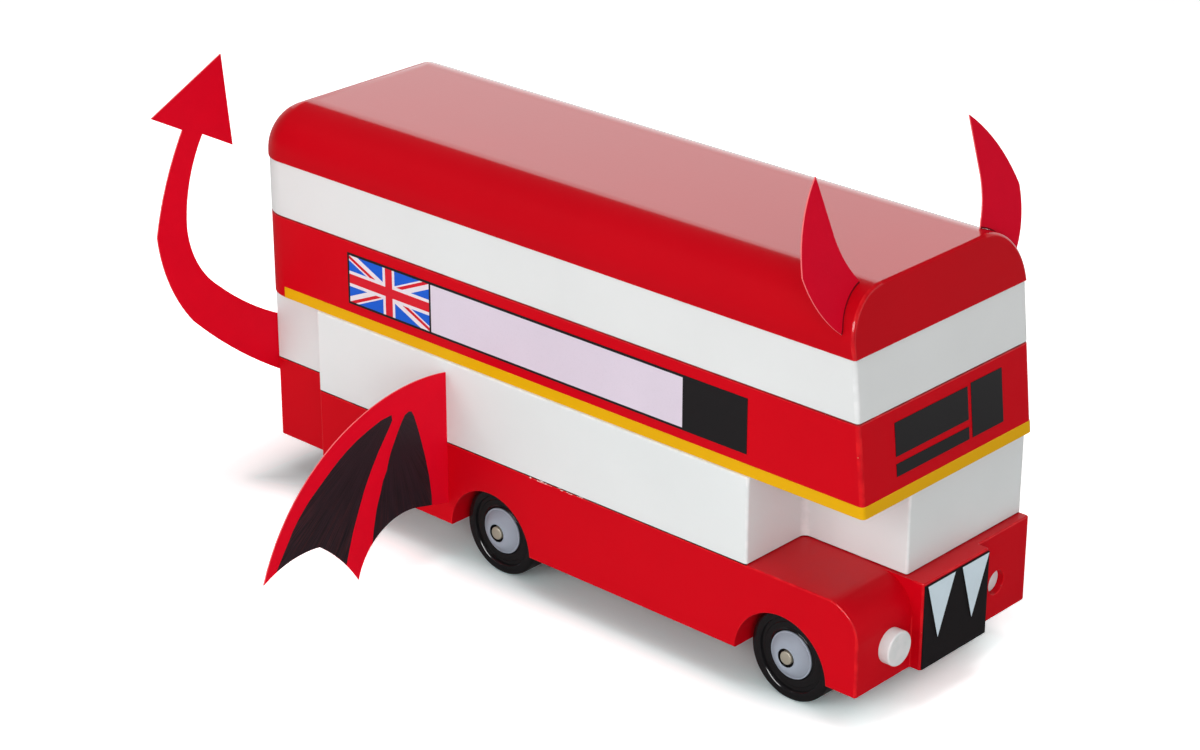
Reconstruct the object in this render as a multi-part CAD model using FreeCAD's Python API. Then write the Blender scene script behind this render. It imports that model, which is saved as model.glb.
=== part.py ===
"""Wooden toy double decker bus in a paper costume: painted blocks, wheelsets, card horns, wings and tail.

Millimetres, +X to the bus's front, +Y to its left, +Z up. The origin is on the floor, midway along the body.
"""

import FreeCAD, Part
import math
import os

from FreeCAD import Vector

# Body blocks, from the floor up
body_length = 245.0
body_width = 78.2
ground_clearance = 12.5
chassis_height = 27.0
lower_deck_height = 26.6
waist_height = 26.7
window_band_height = 17.9
roof_height = 16.7
edge_ease = 0.5

# Upper deck
upper_ledge = 1.1
upper_rear_setback = 1.7
upper_front_setback = 4.0
upper_front_lean = 6.1
rear_corner_radius = 12.0
front_corner_radius = 1.2
roof_proud = 0.3
roof_front_lean = 13.0
roof_shoulder_radius = 15.5
roof_front_ease = 0.9
roof_overrun = 20.0

# Yellow stripe let into the foot of the waist
stripe_height = 3.5
stripe_thickness = 1.0
stripe_proud = 0.2

# Lower deck and chassis in plan
bonnet_proud = 3.6
bonnet_width = 30.0
cab_setback = 3.1
cutout_length = 36.1
cutout_depth = 25.2
cutout_inner_radius = 2.0
platform_length = 29.0
platform_depth = 8.9
block_corner_cut = 0.8
smallest_arc = 1.0
fender_radius = 11.0

# Wheels and axles
wheelbase = 112.0
front_axle_setback = 30.3
tyre_radius = 14.0
tyre_width = 9.5
tyre_shoulder = 0.5
wheel_inset = 4.7
hub_radius = 7.2
hub_sunk = 0.4
hub_dome = 2.3
axle_radius = 2.0
axle_stand_out = 2.0
axle_chamfer = 0.3
running_clearance = 0.08
press_clearance = 0.02
arch_radius = 16.4
arch_drop = 0.5
arch_depth = 15.6

# Straps that hold the axles up in their grooves
strap_length = 18.0
strap_width = 14.0
strap_thickness = 0.8

# Lamp pegs
lamp_radius = 3.6
lamp_across_share = 0.39834
lamp_height = 23.6
lamp_hole_depth = 9.0
lamp_head_radius = 5.15
lamp_head_length = 3.6
lamp_sunk = 2.0
lamp_edge = 0.5
seat_clearance = 0.05

# Black grille card with its two fangs
grille_width = 29.2
grille_height = 25.8
grille_foot = 0.5
card_thickness = 0.4
fang_width = 12.4
fang_height = 17.6
fang_spacing = 15.6
fang_tip_lean = 0.8

# Horns, cut from card
horn_setback = 8.3
horn_lean = 20.0
horn_inset = 11.5
horn_width = 21.1
horn_height = 28.1
horn_inner_shares = [(0.0, 0.0), (0.155, 0.185), (0.255, 0.45), (0.285, 0.72), (0.318, 1.0)]
horn_outer_shares = [(0.318, 1.0), (0.80, 0.58), (0.99, 0.22), (0.90, -0.03), (0.55, -0.38)]
horn_root_shares = (0.0, -0.42)

# Wings, cut from card
wing_station = 37.5
wing_span = 74.0
wing_height = 55.0
wing_foot = 7.8
wing_top_shares = [(0.0, 0.995), (0.22, 1.012), (0.45, 0.95), (0.788, 0.672), (1.0, 0.222)]
wing_outer_scallop_shares = [(0.858, 0.293), (0.707, 0.298), (0.596, 0.162), (0.507, 0.0)]
wing_inner_scallop_shares = [(0.388, 0.217), (0.192, 0.275)]
wing_root_shares = (0.0, 0.215)

# Tail, cut from card and laid on the rear faces
tail_reach = 75.7
tail_top = 144.2
tail_outer_shares = [(0.099, 0.162), (0.493, 0.277), (0.838, 0.429), (0.950, 0.530), (1.0, 0.644),
                     (0.937, 0.756), (0.841, 0.861)]
tail_inner_shares = [(0.741, 0.839), (0.818, 0.748), (0.846, 0.649), (0.806, 0.562), (0.701, 0.491),
                     (0.415, 0.383), (0.086, 0.317)]
tail_arrow_shares = [(0.994, 0.9055), (0.625, 1.0), (0.587, 0.794)]

# Printed signs: side banners and the front blinds
sign_thickness = 0.15
banner_length = 157.6
banner_height = 16.6
banner_station = 0.7
banner_rise = 6.4
blind_height = 9.6
blind_width = 32.3
blind_rise = 13.0
route_bar_height = 3.6
route_bar_rise = 7.3
number_width = 14.2
number_height = 15.8
blind_centre = -6.9
number_centre = 17.9

# Worked out from the sizes above
half_width = body_width / 2
upper_half_width = half_width - upper_ledge
rear_face = -body_length / 2
bonnet_front = body_length / 2
cab_front = bonnet_front - bonnet_proud
lower_deck_front = cab_front - cab_setback
chassis_top = ground_clearance + chassis_height
lower_deck_top = chassis_top + lower_deck_height
waist_top = lower_deck_top + waist_height
window_band_top = waist_top + window_band_height
roof_top = window_band_top + roof_height
upper_rear = rear_face + upper_rear_setback
upper_front = bonnet_front - upper_front_setback
front_axle = bonnet_front - front_axle_setback
rear_axle = front_axle - wheelbase
axle_height = tyre_radius
wheel_face = half_width - wheel_inset
fender_width = half_width - bonnet_width / 2
lamp_station = bonnet_width / 2 + fender_width * lamp_across_share
horn_base = upper_half_width - horn_inset
platform_step = rear_face + platform_length
cutout_rear = lower_deck_front - cutout_length
cutout_wall = cutout_depth - half_width
lean_slope = math.tan(math.radians(upper_front_lean))
roof_slope = math.tan(math.radians(roof_front_lean))


def corner_wire(corners, z):
    """Closed wire at height z through (x, y, radius) corners: arcs at large ones, flats at small ones."""
    count = len(corners)
    ends = []
    for i, (x, y, radius) in enumerate(corners):
        here = Vector(x, y, z)
        before = Vector(corners[i - 1][0], corners[i - 1][1], z) - here
        after = Vector(corners[(i + 1) % count][0], corners[(i + 1) % count][1], z) - here
        before.normalize()
        after.normalize()
        half = before.getAngle(after) / 2
        cut = radius / math.tan(half)
        inward = before + after
        inward.normalize()
        centre = here + inward * (radius / math.sin(half))
        middle = centre - inward * radius
        ends.append((here + before * cut, middle, here + after * cut, radius))
    edges = []
    for i, (start, middle, end, radius) in enumerate(ends):
        if radius < smallest_arc:
            edges.append(Part.makeLine(start, end))
        else:
            edges.append(Part.Arc(start, middle, end).toShape())
        edges.append(Part.makeLine(end, ends[(i + 1) % count][0]))
    return Part.Wire(edges)


def flat_edges(shape, levels):
    """Edges that lie wholly at one of the given heights."""
    found = []
    for edge in shape.Edges:
        box = edge.BoundBox
        for level in levels:
            if abs(box.ZMin - level) < running_clearance and abs(box.ZMax - level) < running_clearance:
                found.append(edge)
    return found


def front_face_at(z):
    """Where the upper deck's leaning front face is at height z."""
    return upper_front - (z - lower_deck_top) * lean_slope


def upper_wire(z, grow):
    """Plan outline of the upper deck at height z, grown outwards all round."""
    rear = upper_rear - grow
    front = front_face_at(z) + grow
    side = upper_half_width + grow
    rear_round = rear_corner_radius + grow
    front_round = front_corner_radius + grow
    corners = [
        (rear, -side, rear_round),
        (front, -side, front_round),
        (front, side, front_round),
        (rear, side, rear_round),
    ]
    return corner_wire(corners, z)


def upper_block(bottom, top, grow=0.0):
    """One slab of the upper deck, with its leaning front."""
    return Part.makeLoft([upper_wire(bottom, grow), upper_wire(top, grow)], True, True)


def eased_block(bottom, top, foot_ease):
    """Slab of the upper deck with its top edge eased, and its foot too unless that ease is zero."""
    levels = [(bottom, -foot_ease), (bottom + foot_ease, 0), (top - edge_ease, 0), (top, -edge_ease)]
    if foot_ease == 0:
        levels = levels[1:]
    return Part.makeLoft([upper_wire(z, grow) for z, grow in levels], True, True)


def stripe_region(grow_out, grow_in):
    """The U of the stripe: both sides from the rear corners forward, and across the front."""
    top = lower_deck_top + stripe_height
    ring = upper_block(lower_deck_top, top, grow_out).cut(upper_block(lower_deck_top, top, grow_in))
    start = upper_rear + rear_corner_radius
    keep = Part.makeBox(body_length, body_width, stripe_height, Vector(start, -half_width, lower_deck_top))
    return ring.common(keep)


def make_waist():
    block = eased_block(lower_deck_top, waist_top, 0)
    return block.cut(stripe_region(edge_ease, stripe_proud - stripe_thickness))


def make_stripe():
    return stripe_region(stripe_proud, stripe_proud - stripe_thickness)


def shoulder_profile(point, low_end, high_end, foot, top, radius):
    """Upright outline that rises from its foot, rolls over in a round shoulder and ends flat at the top."""
    middle = radius * (1 - math.sqrt(0.5))
    round_over = [(low_end, foot), (low_end + middle, top - middle), (low_end + radius, top)]
    edges = [
        Part.makeLine(point(low_end, window_band_top), point(low_end, foot)),
        Part.Arc(*[point(*place) for place in round_over]).toShape(),
        Part.makeLine(point(low_end + radius, top), point(high_end, top)),
        Part.makeLine(point(high_end, top), point(high_end, window_band_top)),
        Part.makeLine(point(high_end, window_band_top), point(low_end, window_band_top)),
    ]
    return Part.Face(Part.Wire(edges))


def roof_corner(side, across, rear, foot, radius, round_over):
    """The square corner that comes off the slab, and the quarter turn of the shoulder that replaces it."""
    axis_x = rear + radius
    axis_y = side * (across - radius)

    def point(out, z):
        return Vector(axis_x - out, axis_y, z)

    inner = radius - round_over
    crest = foot + math.sqrt(round_over ** 2 - inner ** 2)
    half_turn = math.acos(-inner / round_over) / 2
    middle = point(inner + round_over * math.cos(half_turn), foot + round_over * math.sin(half_turn))
    edges = [
        Part.makeLine(point(0, window_band_top), point(radius, window_band_top)),
        Part.makeLine(point(radius, window_band_top), point(radius, foot)),
        Part.Arc(point(radius, foot), middle, point(0, crest)).toShape(),
        Part.makeLine(point(0, crest), point(0, window_band_top)),
    ]
    turn = -90 * side
    quarter = Part.Face(Part.Wire(edges)).revolve(Vector(axis_x, axis_y, 0), Vector(0, 0, 1), turn)
    reach = 2 * radius
    start = Vector(axis_x - reach, min(axis_y, axis_y + side * reach), window_band_top - radius)
    square = Part.makeBox(reach, reach, 2 * roof_height, start)
    return square, quarter


def roof_envelope(grow=0.0):
    """Roof slab whose sides and rear roll over in round shoulders, cut off by the leaning front."""
    foot = window_band_top + roof_height - roof_shoulder_radius
    top = roof_top + grow
    round_over = roof_shoulder_radius + grow
    across = upper_half_width + roof_proud + grow
    rear = upper_rear - roof_proud - grow
    corner = rear_corner_radius + roof_proud + grow
    front = front_face_at(window_band_top) + roof_proud + grow
    length = front + roof_overrun - rear

    def side_point(y, z):
        return Vector(rear, y, z)

    def rear_point(x, z):
        return Vector(x, -across, z)

    right = shoulder_profile(side_point, -across, 0, foot, top, round_over).extrude(Vector(length, 0, 0))
    left = right.mirror(Vector(0, 0, 0), Vector(0, 1, 0))
    slab = right.fuse(left).removeSplitter()
    rear_round = shoulder_profile(rear_point, rear, rear + length, foot, top, round_over)
    slab = slab.common(rear_round.extrude(Vector(0, 2 * across, 0)))
    for side in (-1, 1):
        square, quarter = roof_corner(side, across, rear, foot, corner, round_over)
        slab = slab.cut(square).fuse(quarter)
    lean = (top - window_band_top) * roof_slope
    profile = [
        Vector(front, -body_width, window_band_top),
        Vector(front - lean, -body_width, top),
        Vector(rear + 2 * length, -body_width, top),
        Vector(rear + 2 * length, -body_width, window_band_top),
    ]
    wedge = Part.Face(Part.makePolygon(profile + [profile[0]])).extrude(Vector(0, 2 * body_width, 0))
    return slab.cut(wedge).removeSplitter()


def make_roof():
    """The roof with the outline of its front face eased."""
    roof = roof_envelope()
    front = front_face_at(window_band_top) + roof_proud
    outline = []
    for edge in roof.Edges:
        on_face = True
        for vertex in edge.Vertexes:
            lean = (vertex.Z - window_band_top) * roof_slope
            on_face = on_face and abs(vertex.X + lean - front) < seat_clearance
        if on_face and edge.BoundBox.ZMax > window_band_top + edge_ease:
            outline.append(edge)
    return roof.makeChamfer(roof_front_ease, outline)


def deck_corners():
    """Plan corners of the lower deck: rear platform recess and half cab cutout on the right side."""
    small = block_corner_cut
    return [
        (rear_face, platform_depth - half_width, small),
        (platform_step, platform_depth - half_width, small),
        (platform_step, -half_width, small),
        (cutout_rear, -half_width, small),
        (cutout_rear, cutout_wall, cutout_inner_radius),
        (lower_deck_front, cutout_wall, small),
        (lower_deck_front, half_width, small),
        (rear_face, half_width, rear_corner_radius),
    ]


def make_lower_deck():
    block = Part.Face(corner_wire(deck_corners(), chassis_top)).extrude(Vector(0, 0, lower_deck_height))
    return block.makeChamfer(edge_ease, flat_edges(block, [chassis_top, lower_deck_top]))


def chassis_corners():
    small = block_corner_cut
    bonnet_side = bonnet_width / 2
    return [
        (rear_face, platform_depth - half_width, small),
        (platform_step, platform_depth - half_width, small),
        (platform_step, -half_width, small),
        (cab_front, -half_width, small),
        (cab_front, -bonnet_side, small / 2),
        (bonnet_front, -bonnet_side, small),
        (bonnet_front, bonnet_side, small),
        (cab_front, bonnet_side, small / 2),
        (cab_front, half_width, small),
        (rear_face, half_width, rear_corner_radius),
    ]


def fender_waste():
    """What is taken off above the right fender's round nose."""
    start = cab_front - fender_radius
    middle = chassis_top - fender_radius
    over = fender_radius / 2
    corner = Vector(start, -half_width - over, middle)
    block = Part.makeBox(fender_radius + over, fender_width + over, fender_radius + over, corner)
    nose = Part.makeCylinder(fender_radius, fender_width + over, corner, Vector(0, 1, 0))
    return block.cut(nose)


def wheel_wells(x):
    """Two round wells, one each side, and the axle's groove between them."""
    centre = ground_clearance - arch_drop
    shapes = []
    for side in (-1, 1):
        start = Vector(x, side * (half_width - arch_depth), centre)
        shapes.append(Part.makeCylinder(arch_radius, 2 * arch_depth, start, Vector(0, side, 0)))
    groove = axle_radius + running_clearance
    start = Vector(x, -half_width, axle_height)
    shapes.append(Part.makeCylinder(groove, body_width, start, Vector(0, 1, 0)))
    shapes.append(Part.makeBox(2 * groove, body_width, axle_height, Vector(x - groove, -half_width, 0)))
    return shapes


def lamp_hole(side):
    start = Vector(cab_front - lamp_hole_depth, side * lamp_station, lamp_height)
    return Part.makeCylinder(lamp_radius + seat_clearance, 2 * lamp_hole_depth, start, Vector(1, 0, 0))


def make_chassis():
    block = Part.Face(corner_wire(chassis_corners(), ground_clearance)).extrude(Vector(0, 0, chassis_height))
    block = block.makeChamfer(edge_ease, flat_edges(block, [ground_clearance, chassis_top]))
    block = block.cut(fender_waste())
    for x in (front_axle, rear_axle):
        for shape in wheel_wells(x):
            block = block.cut(shape)
    for side in (-1, 1):
        block = block.cut(lamp_hole(side))
    return block


def make_strap(x):
    """Flat metal strap under the chassis with a half round saddle for the axle."""
    foot = ground_clearance - strap_thickness
    inner = axle_radius + running_clearance
    corner = Vector(x - strap_length / 2, -strap_width / 2, foot)
    plate = Part.makeBox(strap_length, strap_width, strap_thickness, corner)
    start = Vector(x, -strap_width / 2, axle_height)
    saddle = Part.makeCylinder(inner + strap_thickness, strap_width, start, Vector(0, 1, 0))
    above = Part.makeBox(strap_length, strap_width, axle_height, corner + Vector(0, 0, strap_thickness))
    strap = plate.fuse(saddle.cut(above))
    return strap.cut(Part.makeCylinder(inner, strap_width, start, Vector(0, 1, 0))).removeSplitter()


def revolve_wheel_part(points, x, side):
    """Turns a closed (radius, outward) profile about the axle, for the wheel on one side."""
    outline = [Vector(x + radius, side * outward, axle_height) for radius, outward in points]
    face = Part.Face(Part.makePolygon(outline + [outline[0]]))
    return face.revolve(Vector(x, 0, axle_height), Vector(0, 1, 0), 360)


def make_tyre(x, side):
    bore = hub_radius + press_clearance
    inner = wheel_face - tyre_width
    points = [
        (bore, inner),
        (tyre_radius, inner),
        (tyre_radius, wheel_face - tyre_shoulder),
        (tyre_radius - tyre_shoulder, wheel_face),
        (bore, wheel_face),
    ]
    return revolve_wheel_part(points, x, side)


def make_hub(x, side):
    bore = axle_radius + press_clearance
    inner = wheel_face - tyre_width
    rim = wheel_face - hub_sunk
    points = [(bore, inner), (hub_radius, inner), (hub_radius, rim), (bore, rim + hub_dome)]
    return revolve_wheel_part(points, x, side)


def make_axle(x):
    length = 2 * (wheel_face + axle_stand_out)
    rod = Part.makeCylinder(axle_radius, length, Vector(x, -length / 2, axle_height), Vector(0, 1, 0))
    rims = [edge for edge in rod.Edges if edge.BoundBox.YLength < running_clearance]
    return rod.makeChamfer(axle_chamfer, rims)


def lamp_peg(side, length):
    """White peg from the bottom of its hole outwards."""
    start = Vector(cab_front - lamp_hole_depth, side * lamp_station, lamp_height)
    return Part.makeCylinder(lamp_radius, length, start, Vector(1, 0, 0))


def make_right_lamp():
    """Peg with a wide head that stands out before the chassis's front."""
    start = Vector(cab_front, -lamp_station, lamp_height)
    head = Part.makeCylinder(lamp_head_radius, lamp_head_length, start, Vector(1, 0, 0))
    rim = [edge for edge in head.Edges if edge.BoundBox.XMin > cab_front + lamp_edge]
    return head.makeChamfer(lamp_edge, rim).fuse(lamp_peg(-1, lamp_hole_depth))


def make_left_lamp():
    """Peg without a head, sunk in its hole."""
    return lamp_peg(1, lamp_hole_depth - lamp_sunk)


def card_face(x, points):
    """Polygon of (y, z) points at one station, as a card of full thickness forwards."""
    outline = [Vector(x, y, z) for y, z in points]
    return Part.Face(Part.makePolygon(outline + [outline[0]])).extrude(Vector(card_thickness, 0, 0))


def make_grille():
    bottom = ground_clearance + grille_foot
    top = bottom + grille_height
    half = grille_width / 2
    return card_face(bonnet_front, [(-half, bottom), (half, bottom), (half, top), (-half, top)])


def make_fang(side):
    top = ground_clearance + grille_foot + grille_height - seat_clearance
    middle = side * fang_spacing / 2
    tip = (middle - fang_tip_lean, top - fang_height)
    points = [(middle - fang_width / 2, top), (middle + fang_width / 2, top), tip]
    return card_face(bonnet_front + card_thickness, points)


def arc_chain(points):
    """Arcs in a row: every second point ends an arc, and the ones between lie midway along it."""
    return [Part.Arc(*points[i:i + 3]).toShape() for i in range(0, len(points) - 2, 2)]


def make_horn(side):
    """Card horn that leans back, with its foot cut to the roof's shoulder."""
    lean = math.radians(horn_lean)
    station = front_face_at(window_band_top) - horn_setback

    def place(share):
        across = horn_base + share[0] * horn_width
        up = share[1] * horn_height
        return Vector(station - up * math.tan(lean), side * across, roof_top + up)

    inner = arc_chain([place(share) for share in horn_inner_shares])
    outer = arc_chain([place(share) for share in horn_outer_shares])
    root = place(horn_root_shares)
    foot = Part.makeLine(place(horn_outer_shares[-1]), root)
    back = Part.makeLine(root, place(horn_inner_shares[0]))
    through = Vector(-card_thickness * math.cos(lean), 0, -card_thickness * math.sin(lean))
    card = Part.Face(Part.Wire(inner + outer + [foot, back])).extrude(through)
    return card.cut(roof_envelope(seat_clearance))


def make_wing(side):
    """Card wing with a curved leading edge and two scallops below, edge on to the body's side."""

    def place(share):
        across = half_width + share[0] * wing_span
        return Vector(-wing_station, side * across, wing_foot + share[1] * wing_height)

    shares = wing_top_shares + wing_outer_scallop_shares + wing_inner_scallop_shares
    points = [place(share) for share in shares]
    root = place(wing_root_shares)
    edges = arc_chain(points) + [Part.makeLine(points[-1], root), Part.makeLine(root, points[0])]
    return Part.Face(Part.Wire(edges)).extrude(Vector(card_thickness, 0, 0))


def make_tail():
    """Card tail that lies on the rear faces, swings out to the right and up to its arrowhead."""

    def place(share):
        return Vector(rear_face, -share[0] * tail_reach, share[1] * tail_top)

    outer = arc_chain([place(share) for share in tail_outer_shares])
    inner = arc_chain([place(share) for share in tail_inner_shares])
    barb, tip, far_barb = [place(share) for share in tail_arrow_shares]
    edges = outer + [
        Part.makeLine(place(tail_outer_shares[-1]), barb),
        Part.makeLine(barb, tip),
        Part.makeLine(tip, far_barb),
        Part.makeLine(far_barb, place(tail_inner_shares[0])),
    ] + inner + [Part.makeLine(place(tail_inner_shares[-1]), place(tail_outer_shares[0]))]
    return Part.Face(Part.Wire(edges)).extrude(Vector(-card_thickness, 0, 0))


def make_banner(side):
    start = Vector(-banner_length / 2 - banner_station, side * upper_half_width, lower_deck_top + banner_rise)
    along = Vector(banner_length, 0, 0)
    up = Vector(0, 0, banner_height)
    corners = [start, start + along, start + along + up, start + up]
    sheet = Part.Face(Part.makePolygon(corners + [corners[0]]))
    return sheet.extrude(Vector(0, side * sign_thickness, 0))


def make_blind(centre, width, rise, height):
    """Flat sign on the leaning front of the waist."""
    bottom = lower_deck_top + rise
    corners = [
        Vector(front_face_at(bottom), centre - width / 2, bottom),
        Vector(front_face_at(bottom), centre + width / 2, bottom),
        Vector(front_face_at(bottom + height), centre + width / 2, bottom + height),
        Vector(front_face_at(bottom + height), centre - width / 2, bottom + height),
    ]
    return Part.Face(Part.makePolygon(corners + [corners[0]])).extrude(Vector(sign_thickness, 0, 0))


def build():
    nodes = {
        "chassis": make_chassis(),
        "lower_deck": make_lower_deck(),
        "waist_band": make_waist(),
        "waist_stripe": make_stripe(),
        "window_band": eased_block(waist_top, window_band_top, edge_ease),
        "roof": make_roof(),
        "grille_card": make_grille(),
        "tail_card": make_tail(),
        "lamp_right": make_right_lamp(),
        "lamp_left": make_left_lamp(),
        "destination_blind": make_blind(blind_centre, blind_width, blind_rise, blind_height),
        "route_bar": make_blind(blind_centre, blind_width, route_bar_rise, route_bar_height),
        "number_blind": make_blind(number_centre, number_width, route_bar_rise, number_height),
    }
    for name, side in (("right", -1), ("left", 1)):
        nodes["fang_" + name] = make_fang(side)
        nodes["horn_" + name] = make_horn(side)
        nodes["wing_" + name] = make_wing(side)
        nodes["banner_" + name] = make_banner(side)
    for end, x in (("front", front_axle), ("rear", rear_axle)):
        nodes["axle_" + end] = make_axle(x)
        nodes["axle_strap_" + end] = make_strap(x)
        for name, side in (("right", -1), ("left", 1)):
            nodes["tyre_" + end + "_" + name] = make_tyre(x, side)
            nodes["hub_" + end + "_" + name] = make_hub(x, side)
    return nodes


os.makedirs("parts", exist_ok=True)
for node, shape in build().items():
    shape.exportStep("parts/" + node + ".step")
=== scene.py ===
"""Looks of a painted wooden double decker bus in a paper costume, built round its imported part.

Metres, +X to the bus's front, +Y to its left, +Z up. The origin is on the floor, midway along the body.
"""

import cmath
import math

import bmesh
import bpy
from mathutils import Matrix, Vector
from mathutils.geometry import delaunay_2d_cdt


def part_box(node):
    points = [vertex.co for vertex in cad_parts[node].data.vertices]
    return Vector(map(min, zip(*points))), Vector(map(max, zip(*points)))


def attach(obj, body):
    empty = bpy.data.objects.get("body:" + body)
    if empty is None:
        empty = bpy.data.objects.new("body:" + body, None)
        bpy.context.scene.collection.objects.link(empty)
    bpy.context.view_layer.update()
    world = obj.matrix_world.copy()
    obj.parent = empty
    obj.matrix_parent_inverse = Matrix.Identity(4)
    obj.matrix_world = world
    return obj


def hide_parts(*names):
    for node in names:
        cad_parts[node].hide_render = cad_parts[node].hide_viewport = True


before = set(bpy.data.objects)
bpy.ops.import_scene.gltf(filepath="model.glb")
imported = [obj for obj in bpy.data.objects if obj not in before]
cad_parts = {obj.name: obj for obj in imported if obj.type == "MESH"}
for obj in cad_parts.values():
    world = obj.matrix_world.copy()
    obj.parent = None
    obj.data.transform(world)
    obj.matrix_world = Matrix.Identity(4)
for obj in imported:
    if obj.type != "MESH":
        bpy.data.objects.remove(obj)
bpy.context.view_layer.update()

MM = 0.001
ends = ("front", "rear")
sides = (("right", -1), ("left", 1))

# Sizes read from the imported parts
chassis_low, chassis_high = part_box("chassis")
deck_low, deck_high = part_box("lower_deck")
waist_low, waist_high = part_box("waist_band")
stripe_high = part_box("waist_stripe")[1]
window_low, window_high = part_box("window_band")
roof_low, roof_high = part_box("roof")
half_width = chassis_high.y
rear_face = chassis_low.x
bonnet_front = chassis_high.x
upper_half_width = window_high.y
upper_rear = waist_low.x

# Painted blocks
edge_round = 0.5 * MM
upper_front_lean = math.tan(math.radians(6.1))
rear_corner_radius = 12.0 * MM
front_corner_radius = 1.2 * MM
block_corner_radius = 0.8 * MM
stripe_proud = 0.2 * MM
stripe_thickness = 1.0 * MM
stripe_edge_round = 0.12 * MM
upper_front = stripe_high.x - stripe_proud
roof_proud = 0.3 * MM
roof_front_lean = math.tan(math.radians(13.0))
roof_shoulder_radius = 15.5 * MM
roof_front_round = 0.9 * MM
bonnet_proud = 3.6 * MM
bonnet_half_width = 15.0 * MM
cutout_length = 36.1 * MM
cutout_depth = 25.2 * MM
cutout_rear = deck_high.x - cutout_length
cutout_inner_radius = 2.0 * MM
platform_length = 29.0 * MM
platform_depth = 8.9 * MM
fender_radius = 11.0 * MM
cab_front = bonnet_front - bonnet_proud
arch_radius = 16.25 * MM
arch_round = 0.25 * MM
arch_drop = 0.5 * MM
arch_depth = 15.6 * MM
overrun = 4.0 * MM
axle_play = 0.08 * MM
peg_play = 0.05 * MM
nick_station = 7.5 * MM
nick_spread = 10.5 * MM
nick_foot = chassis_high.z - 0.45 * MM

# How wide the edges are that take wear and a painted highlight, and how far dirt reaches from a joint
worn_highlit_edge_width = 0.35 * MM
stripe_worn_highlit_edge_width = 0.2 * MM
wheel_highlight_edge_width = 0.25 * MM
joint_reach = 0.36 * MM
chassis_joint_reach = 0.20 * MM
near_parallel = 0.999

# Steps along round forms
corner_steps = 10
roof_corner_steps = 16
round_steps = 4
stripe_edge_steps = 2
shoulder_steps = 18
nose_steps = 16
groove_steps = 12
rod_steps = 48
lamp_steps = 72
wheel_steps = 96
tyre_steps = 128


class Link:
    """An output socket in an expression: arithmetic on it adds Math nodes."""

    def __init__(self, nodes, socket):
        self.nodes = nodes
        self.socket = socket

    def maths(self, operation, *values):
        return self.nodes.add("ShaderNodeMath", {"operation": operation}, dict(enumerate((self,) + values)))

    def __add__(self, other):
        return self.maths("ADD", other)

    def __sub__(self, other):
        return self.maths("SUBTRACT", other)

    def __rsub__(self, other):
        return self.nodes.add("ShaderNodeMath", {"operation": "SUBTRACT"}, {0: other, 1: self})

    def __mul__(self, other):
        return self.maths("MULTIPLY", other)

    def __truediv__(self, other):
        return self.maths("DIVIDE", other)

    __radd__ = __add__
    __rmul__ = __mul__

    def above(self, edge):
        return self.maths("GREATER_THAN", edge)

    def either(self, other):
        return self.maths("MAXIMUM", other)

    def ramp(self, low, high):
        """Rises smoothly from 0 at low to 1 at high."""
        inputs = {"Value": self, "From Min": low, "From Max": high}
        return self.nodes.add("ShaderNodeMapRange", {"interpolation_type": "SMOOTHSTEP"}, inputs)

    def axis(self, letter):
        """One coordinate of a vector."""
        return self.nodes.add("ShaderNodeSeparateXYZ", {}, {0: self}, letter)


class Nodes:
    """A node tree under construction."""

    def __init__(self, tree, material=None):
        self.tree = tree
        self.material = material
        tree.nodes.clear()

    def add(self, kind, settings=(), inputs=(), output=0):
        node = self.tree.nodes.new(kind)
        for name, value in dict(settings).items():
            setattr(node, name, value)
        for name, value in dict(inputs).items():
            if isinstance(value, Link):
                self.tree.links.new(value.socket, node.inputs[name])
            else:
                node.inputs[name].default_value = value
        return Link(self, node.outputs[output]) if node.outputs else None

    def vector(self, x, y=0.0, z=0.0):
        return self.add("ShaderNodeCombineXYZ", {}, {0: x, 1: y, 2: z})

    def noise(self, place, scale, detail=2.0, rough=0.5):
        inputs = {"Vector": place, "Scale": scale, "Detail": detail, "Roughness": rough}
        return self.add("ShaderNodeTexNoise", {}, inputs)

    def streaks(self, place, scales, detail=3.0, rough=0.6):
        """Noise with its own scale on each axis, so that it runs in streaks."""
        stretched = self.add("ShaderNodeVectorMath", {"operation": "MULTIPLY"}, {0: place, 1: scales})
        return self.noise(stretched, 1.0, detail, rough)

    def attribute(self, name):
        return self.add("ShaderNodeAttribute", {"attribute_name": name}, {}, "Fac")

    def ray(self, kind):
        return self.add("ShaderNodeLightPath", {}, {}, "Is %s Ray" % kind)

    def mix(self, first, second, share):
        """Blend of two colours."""
        settings = {"data_type": "RGBA", "clamp_factor": True}
        return self.add("ShaderNodeMix", settings, {0: share, 6: first, 7: second}, 2)

    def shades(self, base, dark, light, share):
        """Blend of a darker and a lighter shade of one colour."""
        return self.mix(shade(base, dark), shade(base, light), share)

    def bump(self, height, distance, strength):
        inputs = {"Height": height, "Distance": distance, "Strength": strength}
        return self.add("ShaderNodeBump", {}, inputs, "Normal")

    def finish(self, **inputs):
        """Wires up a Principled surface with the given socket values, and returns the material."""
        named = {key.replace("_", " "): value for key, value in inputs.items()}
        surface = self.add("ShaderNodeBsdfPrincipled", {}, named)
        self.add("ShaderNodeOutputMaterial", {}, {"Surface": surface})
        return self.material


def new_material(name):
    """The nodes of a bare material and its object coordinates."""
    material = bpy.data.materials.new(name)
    material.use_nodes = True
    nodes = Nodes(material.node_tree, material)
    return nodes, nodes.add("ShaderNodeTexCoord", output="Object")


def colour(red, green, blue):
    return (red, green, blue, 1.0)


def grey(value):
    return colour(value, value, value)


def shade(base, factor):
    return colour(*[min(channel * factor, 1.0) for channel in base[:3]])


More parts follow.
